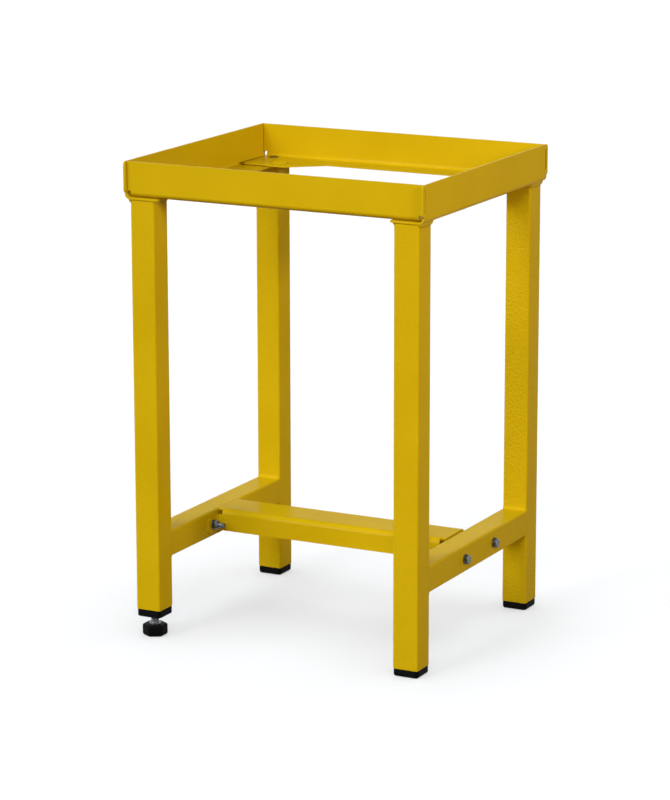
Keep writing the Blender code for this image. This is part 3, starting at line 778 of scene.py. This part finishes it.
# %% Build the four corners tree
corner_tree, inputs = new_tree("four_corners", ["Half Width", "Half Depth", "Height"])
grid = add(
    corner_tree, "GeometryNodeMeshGrid",
    {
        "Size X": reckon(corner_tree, "MULTIPLY", inputs["Half Width"], 2.0),
        "Size Y": reckon(corner_tree, "MULTIPLY", inputs["Half Depth"], 2.0),
        "Vertices X": 2,
        "Vertices Y": 2,
    },
)
position = add(corner_tree, "GeometryNodeInputPosition").outputs[0]
across = add(corner_tree, "ShaderNodeSeparateXYZ", {0: position}).outputs["X"]
is_left = reckon(corner_tree, "LESS_THAN", across, 0.0)
half_turn = reckon(corner_tree, "MULTIPLY", is_left, math.pi)
angles = add(corner_tree, "ShaderNodeCombineXYZ", {2: half_turn}).outputs[0]
turn = add(corner_tree, "FunctionNodeEulerToRotation", {0: angles}).outputs[0]
copies = add(
    corner_tree, "GeometryNodeInstanceOnPoints",
    {"Points": grid.outputs["Mesh"], "Instance": inputs["Geometry"], "Rotation": turn},
)
lifted = transform(corner_tree, copies.outputs[0], "Translation", z=inputs["Height"])
end_tree(corner_tree, inputs, lifted)
print("four corners tree:", len(corner_tree.nodes), "nodes")

# %% Build the seam tree
SEAM_SIDES = 8
SEAM_WANDER_SCALE = 500.0
MIDDLE = (HALF, HALF, HALF)

seam_tree, inputs = new_tree("seam", ["Radius", "Step", "Wander"])
line = add(seam_tree, "GeometryNodeMeshToCurve", {"Mesh": inputs["Geometry"]}).outputs[0]
even = add(
    seam_tree, "GeometryNodeResampleCurve", {"Curve": line, "Length": inputs["Step"]}, mode="LENGTH"
)
drift = add(seam_tree, "ShaderNodeTexNoise", {"Scale": SEAM_WANDER_SCALE}).outputs["Color"]
centred = add(seam_tree, "ShaderNodeVectorMath", {0: drift, 1: MIDDLE}, operation="SUBTRACT").outputs[0]
offset = add(
    seam_tree, "ShaderNodeVectorMath", {0: centred, "Scale": inputs["Wander"]}, operation="SCALE"
)
uneven = add(
    seam_tree, "GeometryNodeSetPosition", {"Geometry": even.outputs[0], "Offset": offset.outputs[0]}
)
section = add(
    seam_tree, "GeometryNodeCurvePrimitiveCircle", {"Resolution": SEAM_SIDES, "Radius": inputs["Radius"]}
)
bead = add(
    seam_tree, "GeometryNodeCurveToMesh",
    {"Curve": uneven.outputs[0], "Profile Curve": section.outputs[0], "Fill Caps": True},
)
end_tree(seam_tree, inputs, bead.outputs[0])
print("seam tree:", len(seam_tree.nodes), "nodes")

# %% [markdown]
# ## Seams, tacks and pressed marks in the tray
#
# At every tray corner a wide flap of the front or rear rail lies on the side rail's flange, with a small
# tack weld at its end and a shallow pressed ring beside it. The shadow in the narrow gap along the flap's
# edge is painted as a thin brown-orange bead, and the tack is painted the same brown for its shaded side.
# The same painted shadow lines run along the foot of the side wall, at the tabs in their slots and down
# the outside corners. They could be painted on flat, but real ridges catch the light from every side.
# The seam tree runs along them all at once.

# %% Run the seams at the corners
SHEET = 0.003
SEAM_RADIUS = 0.0007
SEAM_STEP = 0.003
SEAM_WANDER = 0.0003
FLAP_SIDE = 0.2340
FLAP_NEAR = 0.2027
FLAP_FAR = 0.1262
FLANGE_EDGE = 0.1888
WALL_SEAM_X = 0.2381
WALL_SEAM_LIFT = 0.0053
SLOT_SEAM_X = 0.2421
SLOT_SEAM_Y = 0.2092
# Each slot's lines, from one height to another
# A front slot shows its two ends, a rear one its whole length
SLOT_SEAM_Z = {-1: [(0.6848, 0.6862), (0.7141, 0.7155)], 1: [(0.6848, 0.7155)]}
CORNER_SEAM_X = 0.2399
CORNER_SEAM_Y = [0.2080, 0.2104]
CORNER_SEAM_Z = [0.6803, 0.7218]
# Painted shadow: the brown-orange of the beads stands in for the shade in the gaps, slots and corners
SEAM_SHADE_BROWNS = ((0.17, 0.075, 0.0020), (0.30, 0.155, 0.0025))
SEAM_SHADE_LOOK = {
    "stops": (0.35, 0.65), "cloud": (220.0, 3.0), "relief": (220.0, 3.0, 0.0001), "gloss": (0.40, 0.60),
    "shine": {"Specular IOR Level": PAINT_SPECULAR},
}

PAINTED_SEAM_SHADE = make_finish("painted_seam_shade", SEAM_SHADE_BROWNS, **SEAM_SHADE_LOOK)
wall_height = TRAY_BOTTOM + WALL_SEAM_LIFT
seat_height = TRAY_BOTTOM + SHEET + SEAM_RADIUS
flap_ends = (FLAP_SIDE, FLANGE_EDGE + SEAM_RADIUS)
lines = bmesh.new()
for side in (-1, 1):
    for end in (-1, 1):
        far = end * (FLAP_FAR - SEAM_RADIUS)
        wall_seam = [(side * WALL_SEAM_X, along, wall_height) for along in (end * FLAP_NEAR, far)]
        flap_seam = [(side * across, far, seat_height) for across in flap_ends]
        slot_seams = [
            [(side * SLOT_SEAM_X, end * SLOT_SEAM_Y, height) for height in heights]
            for heights in SLOT_SEAM_Z[end]
        ]
        corner_seams = [
            [(side * CORNER_SEAM_X, end * along, height) for height in CORNER_SEAM_Z]
            for along in CORNER_SEAM_Y
        ]
        for first, second in (wall_seam, flap_seam, *slot_seams, *corner_seams):
            lines.edges.new((lines.verts.new(first), lines.verts.new(second)))
seam_sizes = {"Radius": SEAM_RADIUS, "Step": SEAM_STEP, "Wander": SEAM_WANDER}
# Beads of painted shadow along the gaps
seam_shadow_mesh = grow("tray_seam_shadows", to_mesh(lines, "tray_seam_shadows"), seam_tree, PAINTED_SEAM_SHADE, seam_sizes)
finish_piece(seam_shadow_mesh, "tray_seam_shadows", PAINTED_SEAM_SHADE)
print("seams:", len(seam_shadow_mesh.polygons), "faces")

# %% Set out the tacks and the pressed rings
TACK_SIZE = Vector((0.0034, 0.0026, 0.0024))
TACK_LIFT = 0.0012
TACK_PLACE = {"Half Width": 0.2325, "Half Depth": 0.1256, "Height": TRAY_BOTTOM + SHEET + TACK_LIFT}
TACK_SUBDIVISIONS = 3
TACK_WAVE = 0.0005
TACK_WAVE_SCALE = 420.0
MARK_RADIUS = 0.0115
MARK_WIDTH = 0.0010
MARK_HEIGHT = 0.0010
MARK_STEPS = 10
MARK_POINTS = 64
MARK_PLACE = {"Half Width": 0.181, "Half Depth": 0.152, "Height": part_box("tray_front_rail")[0].z + SHEET}

tack = bmesh.new()
bmesh.ops.create_icosphere(tack, subdivisions=TACK_SUBDIVISIONS, radius=FULL)
for vertex in tack.verts:
    vertex.co = vertex.co * TACK_SIZE
    vertex.co += vertex.normal * TACK_WAVE * noise.noise(vertex.co * TACK_WAVE_SCALE)
# The tacks are coloured with the painted seam shadow, for their shaded side
shaded_tack_mesh = grow("tray_shaded_tacks", to_mesh(tack, "tray_shaded_tacks"), corner_tree, PAINTED_SEAM_SHADE, TACK_PLACE)
finish_piece(shaded_tack_mesh, "tray_shaded_tacks", PAINTED_SEAM_SHADE)

mark_rings = []
for step in range(MARK_STEPS):
    angle = 2 * math.pi * step / MARK_STEPS
    radius = MARK_RADIUS + MARK_WIDTH * math.cos(angle)
    mark_rings.append(ring(MARK_HEIGHT * math.sin(angle), radius, count=MARK_POINTS))
mark_mesh = to_mesh(loft(mark_rings, bored=True), "tray_marks")
mark_mesh = grow("tray_marks", mark_mesh, corner_tree, SHEET_PAINT, MARK_PLACE)
finish_piece(mark_mesh, "tray_marks", SHEET_PAINT)
print("tacks and marks:", len(shaded_tack_mesh.polygons), "and", len(mark_mesh.polygons), "faces")

# %% [markdown]
# ## Bolts, washers and nuts
#
# Four hexagon bolts hold the cross rail to the lower rails. A bolt head is turned before it is cut to a
# hexagon, which leaves the curved chamfer on its corners. Rings of points that are the lesser of a
# hexagon and a growing circle give exactly that, and two smaller circles give the shallow dish in the
# head's face. The tail beyond the nut shows its thread.

# %% Define the turned and hexagon shapes
HEX_FLATS = 0.013
CROWN_RADIUS = 0.0052
CROWN_SLOPE = math.tan(math.radians(30))
CROWN_STEPS = 4
METAL_BEVEL = 0.00018
METAL_SEGMENTS = 2
WASHER_ROLL = 0.0003


def crown(height, direction):
    """Rings of a turned chamfer, from the flat end of a hexagon to its full corners."""
    depth = (HEX_FLATS / math.sqrt(3) - CROWN_RADIUS) * CROWN_SLOPE
    steps = [depth * step / CROWN_STEPS for step in range(CROWN_STEPS + 1)]
    return [
        ring(height + direction * step, CROWN_RADIUS + step / CROWN_SLOPE, HEX_FLATS) for step in steps
    ]


def washer(outer, bore, low, high):
    """Stamped ring with a rolled upper edge."""
    edge = [ring(high - WASHER_ROLL, outer), ring(high, outer - WASHER_ROLL)]
    rings = [ring(low, bore), ring(low, outer), *edge, ring(high, bore)]
    return round_edges(loft(rings, bored=True), METAL_BEVEL, METAL_SEGMENTS)


def along_x(shape):
    """Lay a shape's own Z axis along -X, as on the right side of the stand."""
    bmesh.ops.transform(shape, matrix=Matrix.Rotation(-math.pi / 2, 4, "Y"), verts=shape.verts)
    return shape


print("hexagon corner radius:", round(HEX_FLATS / math.sqrt(3), 5))

# %% Grow the bolts, washers and nuts
BOLT_RADIUS = 0.004
BOLT_PITCH = 0.00125
BOLT_THREAD_DEPTH = 0.00065
BOLT_THREAD_LENGTH = 0.0215
BOLT_TIP = 0.0009
HEAD_HEIGHT = 0.0053
DISH_RADIUS = 0.0044
DISH_FLOOR = 0.0016
DISH_DEPTH = 0.0007
WASHER_OUTER = 0.008
WASHER_BORE = 0.0043
NUT_BORE = 0.0041

bolt_low, bolt_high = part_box("bolt_front_right")
seat = bolt_high.x - HEAD_HEIGHT
bolt_middle = (bolt_low + bolt_high) / 2
corner_sizes = {"Half Width": seat, "Half Depth": abs(bolt_middle.y), "Height": bolt_middle.z}


def four_of(name, shape, nodes):
    """Set a shape out at the four bolts as one piece."""
    mesh = grow(name, to_mesh(shape, name), corner_tree, ZINC, corner_sizes)
    return finish_piece(mesh, name, ZINC, "stand", nodes)


length = seat - bolt_low.x
core = BOLT_RADIUS - BOLT_THREAD_DEPTH
dish = [ring(DISH_DEPTH - HEAD_HEIGHT, DISH_FLOOR), ring(-HEAD_HEIGHT, DISH_RADIUS)]
head = dish + crown(-HEAD_HEIGHT, 1) + [ring(0, HEX_FLATS, HEX_FLATS)]
shank = [ring(0, core), ring(length - BOLT_TIP, core), ring(length, core - BOLT_TIP)]
blank = round_edges(loft(head + shank), METAL_BEVEL, METAL_SEGMENTS)
bolt_thread = {
    "Outer Radius": BOLT_RADIUS,
    "Pitch": BOLT_PITCH,
    "Depth": BOLT_THREAD_DEPTH,
    "Start": length - BOLT_THREAD_LENGTH - BOLT_TIP,
    "Length": BOLT_THREAD_LENGTH,
}
bolt_mesh = grow("bolt", to_mesh(blank, "bolt"), thread_tree, ZINC, bolt_thread)
bolt_shape = bmesh.new()
bolt_shape.from_mesh(bolt_mesh)
four_of("cross_rail_bolts", along_x(bolt_shape), ["bolt_" + corner for corner in CORNERS])

stack = bmesh.new()
for kind in ("head_washer_", "nut_washer_"):
    low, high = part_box(kind + "front_right")
    part = to_mesh(washer(WASHER_OUTER, WASHER_BORE, seat - high.x, seat - low.x), kind)
    stack.from_mesh(part)
    bpy.data.meshes.remove(part)
washer_nodes = [kind + corner for kind in ("head_washer_", "nut_washer_") for corner in CORNERS]
four_of("cross_rail_washers", along_x(stack), washer_nodes)

low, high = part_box("nut_front_right")
near, far = seat - high.x, seat - low.x
nut_rings = crown(near, 1) + crown(far, -1)[::-1] + [ring(far, NUT_BORE), ring(near, NUT_BORE)]
nut_shape = round_edges(loft(nut_rings, bored=True), METAL_BEVEL, METAL_SEGMENTS)
four_of("cross_rail_nuts", along_x(nut_shape), ["nut_" + corner for corner in CORNERS])
print("bolts:", len(bolt_mesh.polygons), "faces each")

# %% [markdown]
# ## Plastic caps and foot
#
# The caps, the tube insert and the hexagon base of the foot are moulded, so their edges are rounder
# than those of the steel. The stud of the foot is threaded over its whole length.

# %% Dress the caps and the foot
CAP_BEVEL = 0.0012
BASE_BEVEL = 0.0024
PLASTIC_SEGMENTS = 3
STUD_RADIUS = 0.006
STUD_PITCH = 0.00175
STUD_THREAD_DEPTH = 0.0006
STUD_TIP = 0.0012

for corner in ("front_right", "rear_left", "rear_right"):
    soften("end_cap_" + corner, BLACK_PLASTIC, CAP_BEVEL, PLASTIC_SEGMENTS)
soften("foot_insert", BLACK_PLASTIC, CAP_BEVEL, PLASTIC_SEGMENTS)
soften("foot_base", BLACK_PLASTIC, BASE_BEVEL, PLASTIC_SEGMENTS, "screw_foot")
soften("foot_bush", ZINC, METAL_BEVEL, METAL_SEGMENTS)
soften("foot_washer", ZINC, METAL_BEVEL, METAL_SEGMENTS, "foot_slide")

low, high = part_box("foot_stud")
foot_middle = (low + high) / 2
core = STUD_RADIUS - STUD_THREAD_DEPTH
stud_rings = [
    ring(low.z, core - STUD_TIP), ring(low.z + STUD_TIP, core),
    ring(high.z - STUD_TIP, core), ring(high.z, core - STUD_TIP),
]
stud_thread = {
    "Outer Radius": STUD_RADIUS,
    "Pitch": STUD_PITCH,
    "Depth": STUD_THREAD_DEPTH,
    "Start": low.z + STUD_TIP,
    "Length": high.z - low.z - 2 * STUD_TIP,
}
stud_mesh = grow("stud", to_mesh(loft(stud_rings), "stud"), thread_tree, ZINC, stud_thread)
stud_mesh.transform(Matrix.Translation((foot_middle.x, foot_middle.y, 0)))
finish_piece(stud_mesh, "foot_stud_threaded", ZINC, "screw_foot", ["foot_stud"])
print("stud:", len(stud_mesh.polygons), "faces")

# %% [markdown]
# ## Threaded inserts
#
# Each tray corner has a threaded insert pressed into it for bolting the chest down. It is a turned piece
# with a thin flange on the tray floor and a thread inside.

# %% Grow the inserts
INSERT_BORE = 0.0034
INSERT_BODY = 0.0055
INSERT_FLANGE = 0.00725
INSERT_FLANGE_HEIGHT = 0.0012
INSERT_ROLL = 0.0004
INSERT_CHAMFER = 0.0006

low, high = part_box("chest_insert_front_right")
insert_middle = (low + high) / 2
under = high.z - INSERT_FLANGE_HEIGHT
insert_rings = [
    ring(low.z, INSERT_BORE), ring(low.z, INSERT_BODY - INSERT_CHAMFER),
    ring(low.z + INSERT_CHAMFER, INSERT_BODY), ring(under, INSERT_BODY),
    ring(under, INSERT_FLANGE), ring(high.z - INSERT_ROLL, INSERT_FLANGE),
    ring(high.z, INSERT_FLANGE - INSERT_ROLL), ring(high.z, INSERT_BORE + INSERT_CHAMFER),
    ring(high.z - INSERT_CHAMFER, INSERT_BORE),
]
insert_thread = {
    "Outer Radius": INSERT_BORE + BOLT_THREAD_DEPTH / 2,
    "Pitch": BOLT_PITCH,
    "Depth": BOLT_THREAD_DEPTH,
    "Start": low.z + INSERT_CHAMFER,
    "Length": high.z - low.z - 2 * INSERT_CHAMFER,
}
insert_mesh = to_mesh(loft(insert_rings, bored=True), "insert")
insert_mesh = grow("insert", insert_mesh, thread_tree, PASSIVATED_ZINC, insert_thread)
insert_sizes = {"Half Width": insert_middle.x, "Half Depth": abs(insert_middle.y), "Height": 0.0}
insert_mesh = grow("chest_inserts", insert_mesh, corner_tree, PASSIVATED_ZINC, insert_sizes)
insert_nodes = ["chest_insert_" + corner for corner in CORNERS]
finish_piece(insert_mesh, "chest_inserts", PASSIVATED_ZINC, "stand", insert_nodes)
print("inserts:", len(insert_nodes))
